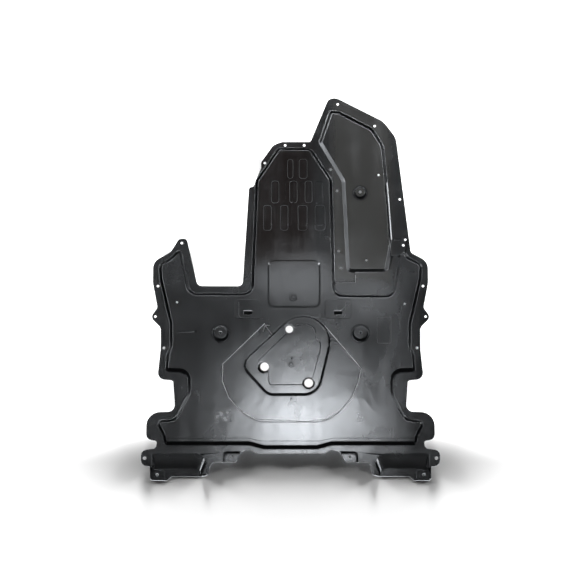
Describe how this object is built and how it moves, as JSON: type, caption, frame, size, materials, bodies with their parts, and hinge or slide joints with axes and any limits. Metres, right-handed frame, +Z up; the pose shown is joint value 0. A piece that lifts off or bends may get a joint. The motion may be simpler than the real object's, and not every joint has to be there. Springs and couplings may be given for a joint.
{
  "type": "transmission under cover",
  "caption": "Moulded plastic under-vehicle cover panel with a stepped flange, raised fields, screw cups, an access field with round holes, and corner scoops.",
  "frame": {"origin": "centre of the footprint, at the level of the scoop undersides that the panel lies on", "axes": "+X across the panel towards the long side field, +Y along it from the scoops to the tip, +Z up out of the face that the picture shows"},
  "size_m": [0.715, 0.938, 0.041],
  "materials": {
    "black_plastic": "satin"
  },
  "bodies": {
    "root": {"cover_panel": "black_plastic"}
  },
  "joints": []
}
